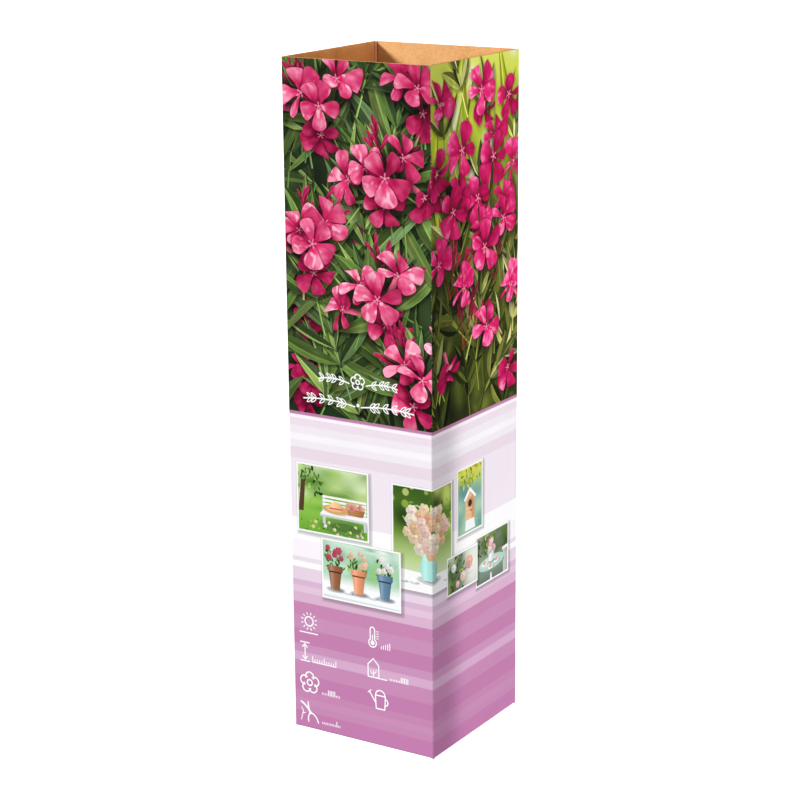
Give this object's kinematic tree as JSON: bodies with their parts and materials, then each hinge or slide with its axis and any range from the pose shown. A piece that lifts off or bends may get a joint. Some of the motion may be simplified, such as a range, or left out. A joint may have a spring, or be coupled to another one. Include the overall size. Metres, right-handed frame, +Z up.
{
  "type": "printed cardboard plant carton",
  "caption": "Tall square open-topped carton of fine corrugated board for a potted plant, printed outside with garden flowers and pink bands, with a glued side seam and a snap-lock bottom.",
  "frame": {"origin": "middle of the underside, on the surface that the carton stands on", "axes": "+Z up along the carton, -Y out of the front wall, +X out of the right wall"},
  "size_m": [0.1, 0.1, 0.411],
  "materials": {
    "printed_board": "satin",
    "brown_board": "matte",
    "coated_board": "satin"
  },
  "bodies": {
    "root": {"front_wall": "printed_board", "right_wall": "printed_board", "back_wall": "printed_board", "left_wall": "printed_board", "seam_flap": "brown_board", "back_flap": "brown_board", "right_flap": "coated_board", "left_flap": "coated_board", "lock_flap": "coated_board"}
  },
  "joints": []
}
